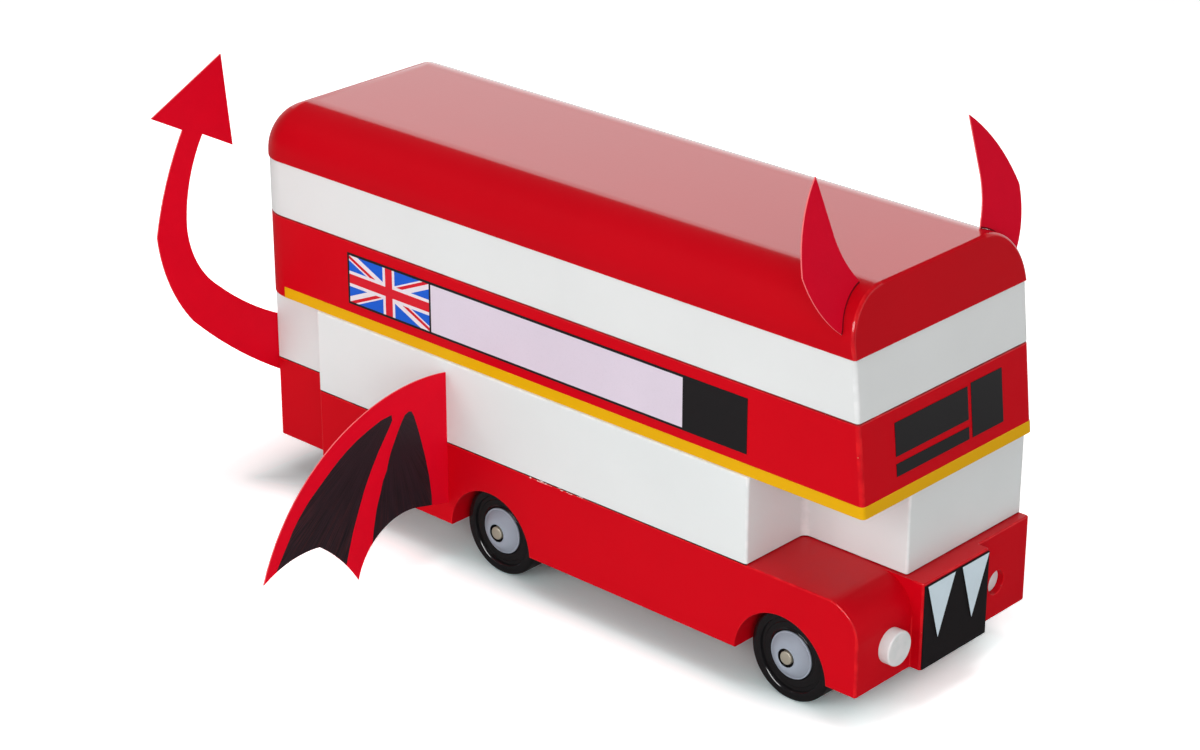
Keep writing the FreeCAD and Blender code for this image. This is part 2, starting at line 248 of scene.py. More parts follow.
def gloss_paint(name, base, worn_highlit_edge, under, polish=0.3, joint_stop=1.0, nicked=0.0):
    """Sprayed gloss paint on sanded wood: faint grain and peel, a few chips, and edges lighter by wear and a
    painted highlight.

    polish is the weight of the clear coat on the faces that look up or left. Dirt lies in the block's joint
    as far forward as joint_stop. nicked is the share of the nicks along the chassis's top edge.
    """
    nodes, place = new_material(name)
    cloud = nodes.noise(place, 22.0, 3.0)
    grain = nodes.streaks(place, (60.0, 900.0, 900.0))
    peel = nodes.noise(place, 700.0)
    speck = nodes.noise(place, 2600.0, 2.0, 0.7)
    edge = nodes.attribute("edge")
    tone = nodes.shades(base, 0.93, 1.05, cloud)
    # Wear and painted highlight: the narrow edge faces are lightened towards the edge colour.
    tone = nodes.mix(tone, worn_highlit_edge, edge * nodes.noise(place, 260.0, 3.0).ramp(0.35, 0.65) * 0.55)
    chips = edge * nodes.noise(place, 480.0, 4.0, 0.7).ramp(0.70, 0.73)
    tone = nodes.mix(tone, under, chips)
    along = place.axis("X")
    dirt = nodes.noise(place, 90.0).ramp(0.20, 0.45) * (1 - along.above(joint_stop))
    tone = nodes.mix(tone, joint_dirt, nodes.attribute("joint") * dirt)
    rubbed = nodes.streaks(place, (300.0, 1500.0, 1500.0), 3.0, 0.7).ramp(0.52, 0.56)
    rubbed = rubbed * (1 - (along - nick_station).maths("ABSOLUTE").above(nick_spread))
    rubbed = rubbed * place.axis("Z").above(nick_foot) * nicked
    tone = nodes.mix(tone, primer, edge * rubbed)
    facing = nodes.add("ShaderNodeNewGeometry", output="Normal")
    flat = facing.axis("Z").ramp(0.955, 0.998)
    left = facing.axis("Y").ramp(0.0, 0.15)
    return nodes.finish(
        Base_Color=tone,
        Roughness=0.34 + cloud * 0.06 + chips * 0.2,
        IOR=1.45,
        Specular_IOR_Level=0.06,
        Coat_Weight=(flat.either(left) * polish).either(edge * 0.4),
        Coat_Roughness=0.09,
        Coat_IOR=1.5,
        Normal=nodes.bump(peel * 0.5 + grain * 0.35 + speck * 0.15, 0.00006, 0.30),
    )


def card(name, base, fibre, gloss=0.62):
    """Thick coloured paper: fine fibres, a little mottle and a dry sheen."""
    nodes, place = new_material(name)
    mottle = nodes.noise(place, 120.0, 4.0, 0.6)
    strands = nodes.streaks(place, (900.0, 2600.0, 1400.0), 4.0, 0.65)
    flecks = nodes.noise(place, 3200.0).ramp(0.62, 0.75)
    tone = nodes.shades(base, 0.94, 1.05, mottle)
    return nodes.finish(
        Base_Color=nodes.mix(tone, fibre, flecks * 0.10 + strands.ramp(0.55, 0.85) * 0.06),
        Roughness=gloss + strands * 0.12,
        IOR=1.45,
        Specular_IOR_Level=0.07,
        Normal=nodes.bump(strands * 0.6 + mottle * 0.4, 0.00005, 0.5),
    )


def brushed_ink(name, apex_across, apex_up):
    """Dark paint brushed on red card in streaks that fan out from the wing's shoulder."""
    nodes, place = new_material(name)
    across = place.axis("Y").maths("ABSOLUTE") - apex_across
    up = place.axis("Z") - apex_up
    turn = across.maths("ARCTAN2", up)
    reach = (across * across + up * up).maths("SQRT")
    streak = nodes.noise(nodes.vector(turn * 75.0, reach * 40.0), 1.0, 5.0, 0.7)
    hair = nodes.noise(nodes.vector(turn * 170.0, reach * 60.0, 3.0), 1.0, 3.0)
    thin = streak.ramp(0.48, 0.68) * reach.ramp(0.012, 0.050)
    tone = nodes.mix(colour(0.0035, 0.0025, 0.0045), colour(0.027, 0.012, 0.020), hair.ramp(0.38, 0.60))
    return nodes.finish(
        Base_Color=nodes.mix(tone, colour(0.095, 0.016, 0.018), thin * 0.70),
        Roughness=0.48 + hair * 0.15,
        Specular_IOR_Level=0.35,
        Normal=nodes.bump(streak * 0.6 + hair * 0.4, 0.00012, 0.6),
    )


def printed(name, base):
    """Ink on coated paper: dot texture and a slightly uneven sheen."""
    nodes, place = new_material(name)
    wash = nodes.noise(place, 60.0, 3.0)
    dots = nodes.noise(place, 2400.0, 1.0)
    tone = nodes.shades(base, 0.95, 1.04, wash)
    return nodes.finish(
        Base_Color=nodes.mix(tone, shade(base, 0.90), dots.ramp(0.55, 0.75) * 0.35),
        Roughness=0.38 + wash * 0.08,
        IOR=1.45,
        Specular_IOR_Level=0.3,
        Normal=nodes.bump(dots, 0.00001, 0.3),
    )


def moulded(name, base, gloss, bump, rim, sheen):
    """Moulded or lacquered wheel surface: fine dust, small scuffs, and a painted highlight in the rim colour
    on narrow edges.
    """
    nodes, place = new_material(name)
    dust = nodes.noise(place, 240.0, 4.0, 0.65)
    scuff = nodes.streaks(place, (900.0, 900.0, 2600.0), 3.0, 0.7).ramp(0.66, 0.74)
    fine = nodes.noise(place, 1500.0)
    tone = nodes.mix(nodes.shades(base, 0.92, 1.08, dust), shade(base, 1.35), scuff * 0.35)
    return nodes.finish(
        # Painted highlight: narrow edge faces take the lighter rim colour.
        Base_Color=nodes.mix(tone, rim, nodes.attribute("edge") * 0.7),
        Roughness=gloss + dust * 0.06 + scuff * 0.12,
        IOR=1.48,
        Specular_IOR_Level=sheen,
        Normal=nodes.bump(fine * 0.5 + dust * 0.5, bump, 0.4),
    )


def drawn_steel(name, base, gloss, metal):
    """Plain steel rod or strap with draw lines and faint tarnish; metal is less where it has dulled."""
    nodes, place = new_material(name)
    lines = nodes.streaks(place, (2400.0, 90.0, 2400.0))
    tarnish = nodes.noise(place, 420.0, 4.0, 0.6)
    return nodes.finish(
        Base_Color=nodes.shades(base, 0.80, 1.06, tarnish),
        Metallic=metal,
        Roughness=gloss + tarnish * 0.14 + lines * 0.08,
        Normal=nodes.bump(lines, 0.00003, 0.5),
    )


joint_dirt = colour(0.045, 0.012, 0.010)
primer = colour(0.80, 0.74, 0.70)
bare_wood = colour(0.62, 0.42, 0.24)
filler = colour(0.70, 0.62, 0.50)
red = colour(0.595, 0.001, 0.008)
# Lighter edge colours, partly wear and partly a painted highlight
worn_highlit_red = colour(0.80, 0.012, 0.016)
# Painted light and shade: the lower deck takes a lighter copy of the window band's white paint.
white = colour(0.742, 0.760, 0.757)
deck_white_lit_copy = colour(0.752, 0.785, 0.782)
yellow = colour(0.765, 0.405, 0.004)
red_paint = gloss_paint("red gloss paint", red, worn_highlit_red, bare_wood, 0.25)
chassis_paint = gloss_paint("red gloss paint of the chassis", red, worn_highlit_red, bare_wood, 0.25, cutout_rear,
                            1.0)
worn_highlit_roof = colour(0.72, 0.010, 0.014)
# Painted shade: the roof takes a darker copy of the body's red paint.
shaded_roof_paint = gloss_paint("red gloss paint of the roof", shade(red, 0.85), worn_highlit_roof, bare_wood, 1.1)
white_paint = gloss_paint("white gloss paint", white, grey(0.86), filler)
deck_paint = gloss_paint("white gloss paint of the lower deck", deck_white_lit_copy, grey(0.88), filler)
yellow_paint = gloss_paint("yellow gloss paint", yellow, colour(0.90, 0.52, 0.02), bare_wood)
worn_highlit_lamp = colour(0.84, 0.82, 0.82)
lamp_paint = gloss_paint("white gloss paint of the lamps", shade(white, 0.97), worn_highlit_lamp, filler)
red_card = card("red card", colour(0.82, 0.001, 0.018), colour(0.85, 0.10, 0.12))
# Painted shade: the horns take a darker copy of the same red card.
shaded_horn_card = card("red card of the horns", colour(0.65, 0.001, 0.020), colour(0.80, 0.10, 0.12))
shaded_card = card("shaded foot of red card", colour(0.16, 0.002, 0.006), colour(0.30, 0.03, 0.04))
card_core = card("cut edge of red card", colour(0.85, 0.16, 0.17), colour(0.80, 0.45, 0.45))
black_card = card("black card", colour(0.014, 0.012, 0.013), colour(0.05, 0.05, 0.055), 0.34)
pale_card = card("pale card", colour(0.66, 0.78, 0.85), colour(0.74, 0.84, 0.90), 0.45)
wing_ink = brushed_ink("brushed dark paint", 62.0 * MM, 58.0 * MM)
print_black = printed("black print", colour(0.010, 0.009, 0.010))
print_lilac = printed("pale lilac print", colour(0.70, 0.62, 0.72))
print_white = printed("white print", colour(0.78, 0.72, 0.77))
print_red = printed("red print", colour(0.66, 0.004, 0.018))
print_blue = printed("blue print", colour(0.003, 0.10, 0.62))
tyre_tone = colour(0.0072, 0.0066, 0.0072)
tyre_black = moulded("black tyre", tyre_tone, 0.07, 0.000004, colour(0.010, 0.009, 0.010), 0.45)
hub_tone = colour(0.175, 0.205, 0.238)
hub_grey = moulded("pale blue-grey hub", hub_tone, 0.38, 0.00002, colour(0.40, 0.45, 0.53), 0.05)
axle_steel = drawn_steel("drawn steel", colour(0.47, 0.43, 0.34), 0.42, 0.35)
strap_steel = drawn_steel("strap steel", colour(0.55, 0.55, 0.56), 0.34, 0.92)


def arc_points(start, middle, end, steps):
    """Points along the arc through three 2-D places, from start up to but not including end."""
    a, b, c = (complex(*place) for place in (start, middle, end))
    ratio = (c - a) / (b - a)
    centre = a + (b - a) * (ratio - abs(ratio) ** 2) / (2j * ratio.imag)
    sweep = cmath.phase((c - centre) / (a - centre)) % math.tau
    if ratio.imag < 0:
        sweep -= math.tau
    points = [centre + (a - centre) * cmath.rect(1, sweep * i / steps) for i in range(steps)]
    return [(point.real, point.imag) for point in points]


def arc_chain(places, steps):
    """Arcs in a row: every second place ends an arc, and the ones between lie on it."""
    found = []
    for i in range(0, len(places) - 2, 2):
        found += arc_points(places[i], places[i + 1], places[i + 2], steps)
    return found + [places[-1]]


def circle_part(x, y, radius, first, last, steps):
    """Places round a centre, from the first to the last angle."""
    angles = [first + (last - first) * i / steps for i in range(steps + 1)]
    return [(x + radius * math.cos(angle), y + radius * math.sin(angle)) for angle in angles]


def rounded_outline(corners, inset, steps=corner_steps):
    """Closed outline through (x, y, radius) corners, counterclockwise, set in by inset."""
    places = [Vector(corner[:2]) for corner in corners]
    found = []
    for i, here in enumerate(places):
        before = (here - places[i - 1]).normalized()
        after = (places[(i + 1) % len(places)] - here).normalized()
        inwards = before.orthogonal()
        side = 1 if before.cross(after) > 0 else -1
        moved = here + (inwards + after.orthogonal()) * (inset / (1 + before.dot(after)))
        bend = max(corners[i][2] - side * inset, 0.0)
        turn = before.angle(after)
        start = moved - before * (bend * math.tan(turn / 2))
        centre = start + inwards * (side * bend)
        for step in range(steps + 1):
            found.append(centre + Matrix.Rotation(side * turn * step / steps, 2) @ (start - centre))
    return found


def quarter_round(start_radius, start_along, end_radius, end_along, bulge_first, steps=round_steps):
    """Profile points along a quarter arc between two places; bulge_first keeps the radius at the start."""
    found = []
    for i in range(steps + 1):
        angle = math.pi / 2 * i / steps
        shares = (1 - math.cos(angle), math.sin(angle))
        share_radius, share_along = shares if bulge_first else shares[::-1]
        radius = start_radius + (end_radius - start_radius) * share_radius
        found.append((radius, start_along + (end_along - start_along) * share_along))
    return found


def eased_levels(bottom, top, foot_round=edge_round):
    """(inset, height) pairs up a block whose foot and top edges are rounded."""
    foot = [(0.0, bottom)]
    if foot_round:
        foot = quarter_round(foot_round, bottom, 0.0, bottom + foot_round, False)
    return foot + quarter_round(0.0, top - edge_round, edge_round, top, True)


def clean(mesh):
    """Merges doubles, drops faces with no area and turns every face outwards."""
    bmesh.ops.remove_doubles(mesh, verts=mesh.verts, dist=1e-6)
    bmesh.ops.dissolve_degenerate(mesh, edges=mesh.edges, dist=1e-7)
    bmesh.ops.recalc_face_normals(mesh, faces=mesh.faces)
    return mesh


def skin(mesh, rows):
    """Faces between neighbouring rings."""
    for low, high in zip(rows, rows[1:]):
        for corners in zip(low, low[1:] + low[:1], high[1:] + high[:1], high):
            mesh.faces.new(corners)


def loft(rings):
    """Mesh of a closed skin through rings of points, capped at both ends."""
    mesh = bmesh.new()
    rows = [[mesh.verts.new(point) for point in ring] for ring in rings]
    skin(mesh, rows)
    mesh.faces.new(rows[0][::-1])
    mesh.faces.new(rows[-1])
    return clean(mesh)


def turned(profile, steps, place, closed=False):
    """Mesh of a (radius, along) profile turned about an axis.

    place maps radius, angle and along to a point.
    """
    mesh = bmesh.new()
    rows = []
    for radius, along in profile:
        rows.append([mesh.verts.new(place(radius, math.tau * i / steps, along)) for i in range(steps)])
    skin(mesh, rows + rows[:1] if closed else rows)
    return clean(mesh)


def about_x(y, z):
    """Maps a turned profile to points round an axis along X."""
    return lambda radius, angle, along: (along, y + radius * math.cos(angle), z + radius * math.sin(angle))


def about_y(x, z, side=1):
    """Maps a turned profile to points round an axis along Y, outwards on the given side."""
    return lambda radius, angle, along: (
        x + radius * math.cos(angle), side * along, z + radius * math.sin(angle))


def bevel(mesh, edges, width, steps):
    """Rounds the given edges."""
    bmesh.ops.bevel(mesh, geom=edges, offset=width, segments=steps, profile=0.5, affect="EDGES")
    clean(mesh)


def new_object(name, mesh, materials):
    """An object from a bmesh, linked to the scene, with its materials in slot order."""
    data = bpy.data.meshes.new(name)
    mesh.to_mesh(data)
    mesh.free()
    for material in materials:
        data.materials.append(material)
    made = bpy.data.objects.new(name, data)
    bpy.context.scene.collection.objects.link(made)
    return made


def mark(piece, name, value_of):
    """Writes each face's value into a named attribute of the piece."""
    values = [value_of(polygon) for polygon in piece.data.polygons]
    piece.data.attributes.new(name, "FLOAT", "FACE").data.foreach_set("value", values)


def mark_edges(piece, width):
    """Gives each narrow face, as along a rounded edge, the value 1 in the attribute edge."""

    def narrow(polygon):
        corners = [piece.data.vertices[i].co for i in polygon.vertices]
        length = sum((corners[i] - corners[i - 1]).length for i in range(len(corners)))
        return float(2 * polygon.area < width * length)

    mark(piece, "edge", narrow)


def mark_joint(piece, height, dirt, reach=joint_reach):
    """Gives the sloping faces within reach of a joint at this height their share of dirt."""

    def dirty(polygon):
        near = abs(polygon.center.z - height) < reach
        return dirt if near and abs(polygon.normal.z) < near_parallel else 0.0

    mark(piece, "joint", dirty)


def hand_over(piece, nodes, body="bus_body", sharp=40.0, worn_highlit_edge=worn_highlit_edge_width):
    """Edges marked for wear and a painted highlight, smooth shading with true flats, then the piece takes its
    place on the body.
    """
    if worn_highlit_edge:
        mark_edges(piece, worn_highlit_edge)
    for polygon in piece.data.polygons:
        polygon.use_smooth = True
    piece.data.set_sharp_from_angle(angle=math.radians(sharp))
    weighted = piece.modifiers.new("true flats", "WEIGHTED_NORMAL")
    weighted.mode = "FACE_AREA"
    weighted.weight = 100
    weighted.keep_sharp = True
    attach(piece, body)
    if nodes:
        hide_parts(*nodes)
    return piece


def block(name, levels, corners_at, material):
    """Block lofted through rounded plan outlines, from (inset, height) pairs."""
    rings = [[(x, y, z) for x, y in rounded_outline(corners_at(z), inset)] for inset, z in levels]
    return new_object(name, loft(rings), [material])


def turned_piece(name, mesh, material, worn_highlit_edge, body, node):
    """Turned piece, in place of its solid."""
    return hand_over(new_object(name, mesh, [material]), [node], body, 30.0, worn_highlit_edge)


def upper_front_at(z):
    """Station of the upper deck's front, which leans back, at height z."""
    return upper_front - (z - deck_high.z) * upper_front_lean


def plan_corners(rear, front, side, rear_radius, front_radius):
    """Plan corners of a block that is alike on both sides."""
    return [
        (rear, -side, rear_radius),
        (front, -side, front_radius),
        (front, side, front_radius),
        (rear, side, rear_radius),
    ]


def upper_corners(z):
    """Plan corners of the upper deck at height z."""
    front = upper_front_at(z)
    return plan_corners(upper_rear, front, upper_half_width, rear_corner_radius, front_corner_radius)


def lower_corners(front_run):
    """Plan corners of a lower block: the platform recess, its own corners round the front, the left rear."""
    small = block_corner_radius
    step = rear_face + platform_length
    recess = platform_depth - half_width
    run = [(rear_face, recess, small), (step, recess, small), (step, -half_width, small)]
    return run + front_run + [(rear_face, half_width, rear_corner_radius)]


def deck_corners(z):
    """Plan corners of the lower deck at any height, with the half cab cutout."""
    small = block_corner_radius
    wall = cutout_depth - half_width
    return lower_corners([
        (cutout_rear, -half_width, small),
        (cutout_rear, wall, cutout_inner_radius),
        (deck_high.x, wall, small),
        (deck_high.x, half_width, small),
    ])


def chassis_corners(z):
    """Plan corners of the chassis at any height, with the bonnet that stands proud."""
    small = block_corner_radius
    return lower_corners([
        (cab_front, -half_width, small),
        (cab_front, -bonnet_half_width, small / 2),
        (bonnet_front, -bonnet_half_width, small),
        (bonnet_front, bonnet_half_width, small),
        (cab_front, bonnet_half_width, small / 2),
        (cab_front, half_width, small),
    ])


def carve(piece, cutters):
    """Cuts closed cutter objects out of a piece, and removes them."""
    for cutter in cutters:
        modifier = piece.modifiers.new("cut", "BOOLEAN")
        modifier.operation = "DIFFERENCE"
        modifier.solver = "EXACT"
        modifier.object = cutter
    graph = bpy.context.evaluated_depsgraph_get()
    cut = bpy.data.meshes.new_from_object(piece.evaluated_get(graph))
    piece.modifiers.clear()
    piece.data = cut
    for cutter in cutters:
        bpy.data.objects.remove(cutter)


def bore_cutter(radius, floor, face, flare, steps, place):
    """Round hole from its floor out past the face, with a rounded mouth."""
    mouth = radius + flare
    profile = [(0.0, floor), (radius, floor)] + quarter_round(radius, face - flare, mouth, face, True)
    profile += [(mouth, face + overrun), (0.0, face + overrun)]
    return new_object("cutter", turned(profile, steps, place), [])


def groove_cutter(x, z, radius):
    """Slot from below with a round top, that the axle lies in."""
    outline = circle_part(x, z, radius, 0.0, math.pi, groove_steps) + [(x - radius, 0.0), (x + radius, 0.0)]
    reach = half_width - arch_depth + overrun
    return new_object("cutter", loft([[(px, y, pz) for px, pz in outline] for y in (-reach, reach)]), [])


def fender_cutter():
    """What comes off above the round nose of the right fender, with the nose's side edge rounded."""
    start = cab_front - fender_radius
    middle = chassis_high.z - fender_radius
    above = chassis_high.z + overrun
    ahead = cab_front + overrun
    small = fender_radius - edge_round
    stations = [(small, -half_width - overrun)]
    stations += quarter_round(small, -half_width, fender_radius, -half_width + edge_round, False)
    stations.append((fender_radius, -bonnet_half_width))
    rings = []
    for radius, y in stations:
        ring = circle_part(start, middle, radius, 0.0, math.pi / 2, nose_steps)
        ring += [(start, above), (ahead, above), (ahead, middle)]
        rings.append([(x, y, z) for x, z in ring])
    return new_object("cutter", loft(rings), [])


def middle_and_radius(node):
    """Centre of a round node's box and half its height."""
    low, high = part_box(node)
    return (low + high) / 2, (high.z - low.z) / 2


def make_chassis():
    """Red chassis block with wheel wells, axle grooves, lamp holes and the round fender nose."""
    levels = eased_levels(chassis_low.z, chassis_high.z)
    piece = block("chassis_block", levels, chassis_corners, chassis_paint)
    cutters = [fender_cutter()]
    well_floor = half_width - arch_depth
    for end in ends:
        axle, rod = middle_and_radius("axle_" + end)
        for _, side in sides:
            place = about_y(axle.x, chassis_low.z - arch_drop, side)
            cutters.append(bore_cutter(arch_radius, well_floor, half_width, arch_round, wheel_steps, place))
        cutters.append(groove_cutter(axle.x, axle.z, rod + axle_play))
    hole = middle_and_radius("lamp_left")[1] + peg_play
    for name, _ in sides:
        peg, _ = middle_and_radius("lamp_" + name)
        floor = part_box("lamp_" + name)[0].x
        cutters.append(bore_cutter(hole, floor, cab_front, edge_round / 2, rod_steps, about_x(peg.y, peg.z)))
    carve(piece, cutters)
    mark_joint(piece, chassis_high.z, 1.0, chassis_joint_reach)
    hand_over(piece, ["chassis"])


def make_roof():
    """Red roof: the sides and rear roll over in round shoulders, the front is cut off leaning back."""
    foot = roof_high.z - roof_shoulder_radius
    side = upper_half_width + roof_proud
    rear = upper_rear - roof_proud
    shoulder = quarter_round(0.0, foot, roof_shoulder_radius, roof_high.z, True, shoulder_steps)
    rings = []
    for inset, z in [(0.0, roof_low.z)] + shoulder:
        front = upper_front_at(roof_low.z) + roof_proud - (z - roof_low.z) * roof_front_lean
        bend = max(rear_corner_radius + roof_proud - inset, 0.0)
        corners = plan_corners(rear + inset, front, side - inset, bend, 0.0)
        rings.append([(x, y, z) for x, y in rounded_outline(corners, 0.0, roof_corner_steps)])
    mesh = loft(rings)
    lean = Vector((1.0, 0.0, roof_front_lean)).normalized()

    def leaning_faces():
        return [face for face in mesh.faces if face.normal.dot(lean) > near_parallel]

    bmesh.ops.dissolve_faces(mesh, faces=leaning_faces())
    rims = [edge for face in leaning_faces() for edge in face.edges]
    rims = [edge for edge in rims if max(vert.co.z for vert in edge.verts) > roof_low.z + 1e-6]
    bevel(mesh, rims, roof_front_round, round_steps)
    hand_over(new_object("roof_block", mesh, [shaded_roof_paint]), ["roof"])


def make_stripe():
    """Yellow stripe let into the foot of the waist: both sides and across the front."""
    start = upper_rear + rear_corner_radius

    def line(inset, z):
        side = upper_half_width - inset
        around = [(x, y, z) for x, y in rounded_outline(upper_corners(z), inset) if x > start]
        return [(start, -side, z)] + around + [(start, side, z)]

    outer = -stripe_proud
    inner = stripe_thickness - stripe_proud
    foot = deck_high.z
    top = stripe_high.z
    mesh = loft(zip(line(outer, foot), line(outer, top), line(inner, top), line(inner, foot)))
    rims = [edge for edge in mesh.edges if edge.is_manifold and edge.calc_face_angle() > math.radians(50)]
    bevel(mesh, rims, stripe_edge_round, stripe_edge_steps)
    piece = new_object("stripe_band", mesh, [yellow_paint])
    hand_over(piece, ["waist_stripe"], worn_highlit_edge=stripe_worn_highlit_edge_width)


def make_blocks():
    """The painted wooden blocks of the body; dirt lies in one joint of each of the upper three."""
    make_chassis()
    deck_levels = eased_levels(deck_low.z, deck_high.z)
    waist_levels = eased_levels(waist_low.z, waist_high.z, 0.0)
    window_levels = eased_levels(window_low.z, window_high.z)
    for name, levels, corners_at, material, slot, node, joint, dirt in (
        ("deck_block", deck_levels, deck_corners, deck_paint, "white_paint", "lower_deck", deck_low.z, 1.0),
        ("waist_block", waist_levels, upper_corners, red_paint, "red_paint", "waist_band", waist_high.z, 0.5),
        ("window_block", window_levels, upper_corners, white_paint, "white_paint", "window_band",
         window_low.z, 0.5),
    ):
        piece = block(name, levels, corners_at, material)
        mark_joint(piece, joint, dirt)
        hand_over(piece, [node])
    make_roof()
    make_stripe()


# Wheels and lamps; the lists are runs inwards and drops or rises along a tyre's section, in mm
axle_end_round = 0.35 * MM
bore_play = 0.02 * MM
tyre_shoulder = 1.1 * MM
tyre_dish = 1.0 * MM
tyre_wall = 2.5 * MM
tyre_step = [(0.0, 0.0), (0.12, 0.05), (0.42, 0.38), (0.50, 0.55), (0.58, 1.0), (1.6, 1.0), (1.8, 0.88)]
tyre_ring = [(1.3, 0.12), (0.9, 0.0)]
tyre_lip = [0.7 * MM, 0.35 * MM, 0.3 * MM]
tyre_lip_foot = 0.1 * MM
tyre_lip_top = 0.4 * MM
hub_hole_radius = 2.8 * MM
hub_lip = 0.22 * MM
hub_lip_drop = 0.25 * MM
hub_margin = 0.01 * MM
hub_well = 1.5 * MM
hub_bead = 0.18 * MM
hub_line = 0.24 * MM
hub_sink = 0.4 * MM
dome_steps = 12
dome_power = 0.9
lamp_back_round = 0.2 * MM
lamp_rim_round = 0.5 * MM


def tyre_profile(radius, bore, inner, face):
    """Tyre section: round shoulders, a raised wall, a step down to a dished ring and a lip round the hub."""
    shoulder = radius - tyre_shoulder
    dish = face - tyre_dish
    profile = [(bore, inner)] + quarter_round(shoulder, inner, radius, inner + tyre_shoulder, False)
    profile += quarter_round(radius, face - tyre_shoulder, shoulder, face, True)
    profile += [(radius - tyre_wall - run * MM, face - drop * MM) for run, drop in tyre_step]
    profile += [(bore + run * MM, dish + rise * MM) for run, rise in tyre_ring]
    outer, crest, inner_crest = [bore + run for run in tyre_lip]
    foot = dish + tyre_lip_foot
    top = dish + tyre_lip_top
    profile += quarter_round(outer, foot, crest, top, False)
    return profile + quarter_round(inner_crest, top, bore, foot, True)


def hub_profile(radius, bore, inner, rim, crown):
    """Hub section: a fine bead round the rim, a dome and a small well round the axle's end."""
    profile = [(bore, inner), (radius, inner)]
    profile += quarter_round(radius, rim - hub_bead, radius - hub_bead, rim, True)
    start = radius - hub_bead - hub_line
    end = hub_hole_radius + hub_lip
    for i in range(dome_steps + 1):
        share = i / dome_steps
        swell = math.sin(share * math.pi / 2) ** dome_power
        profile.append((start + (end - start) * share, rim + (crown - rim) * swell))
    profile += quarter_round(end, crown, hub_hole_radius, crown - hub_lip_drop, False)[1:]
    return profile + [(hub_hole_radius, crown - hub_well), (bore, crown - hub_well)]


def axle_mesh(low, high, place, rod):
    """Steel rod with rounded ends."""
    small = rod - axle_end_round
    heel = quarter_round(small, low.y, rod, low.y + axle_end_round, False)
    tip = quarter_round(rod, high.y - axle_end_round, small, high.y, True)
    return turned([(0.0, low.y)] + heel + tip + [(0.0, high.y)], rod_steps, place)


def make_wheel(corner, body, axle, place, rod):
    """Tyre and hub of one wheel; the hub's well round the axle's end takes the tyre's black as painted shade.
    """
    tyre = "tyre_" + corner
    hub = "hub_" + corner
    inner, face = sorted(abs(point.y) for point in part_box(tyre))
    crown = max(abs(point.y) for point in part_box(hub))
    radius = middle_and_radius(tyre)[1]
    bore = middle_and_radius(hub)[1]
    mesh = turned(tyre_profile(radius, bore + bore_play, inner, face), tyre_steps, place, True)
    turned_piece("rubber_" + tyre, mesh, tyre_black, wheel_highlight_edge_width, body, tyre)
    profile = hub_profile(bore, rod + bore_play, inner, face - hub_sink, crown)
    mesh = turned(profile, wheel_steps, place, True)
    disc = turned_piece("disc_" + hub, mesh, hub_grey, wheel_highlight_edge_width, body, hub)
    # Painted shade: the faces in the well round the axle's end take the tyre's black.
    disc.data.materials.append(tyre_black)
    for polygon in disc.data.polygons:
        around = math.hypot(polygon.center.x - axle.x, polygon.center.z - axle.z)
        if around < hub_hole_radius + hub_margin:
            polygon.material_index = 1


def make_wheels():
    """Tyres, hubs and steel axles of both wheelsets."""
    for end in ends:
        node = "axle_" + end
        body = end + "_wheels"
        axle, rod = middle_and_radius(node)
        mesh = axle_mesh(*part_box(node), about_y(axle.x, axle.z), rod)
        turned_piece("axle_rod_" + end, mesh, axle_steel, None, body, node)
        for name, side in sides:
            make_wheel(end + "_" + name, body, axle, about_y(axle.x, axle.z, side), rod)


def make_lamps():
    """White lamp pegs: the right one's wide head stands out, the left one has no head and is sunk."""
    peg = middle_and_radius("lamp_left")[1]
    for name, _ in sides:
        node = "lamp_" + name
        low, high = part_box(node)
        middle, head = middle_and_radius(node)
        rim = lamp_back_round
        profile = [(0.0, low.x), (peg, low.x)]
        if head > peg:
            rim = lamp_rim_round
            small = head - lamp_back_round
            profile.append((peg, cab_front))
            profile += quarter_round(small, cab_front, head, cab_front + lamp_back_round, False)
        profile += quarter_round(head, high.x - rim, head - rim, high.x, True) + [(0.0, high.x)]
        mesh = turned(profile, lamp_steps, about_x(middle.y, middle.z))
        turned_piece("peg_" + node, mesh, lamp_paint, worn_highlit_edge_width, "bus_body", node)


# Strap screws
screw_radius = 1.6 * MM
screw_height = 0.8 * MM
screw_slot = 0.5 * MM
screw_station = 6.0 * MM
strap_thickness = 0.8 * MM


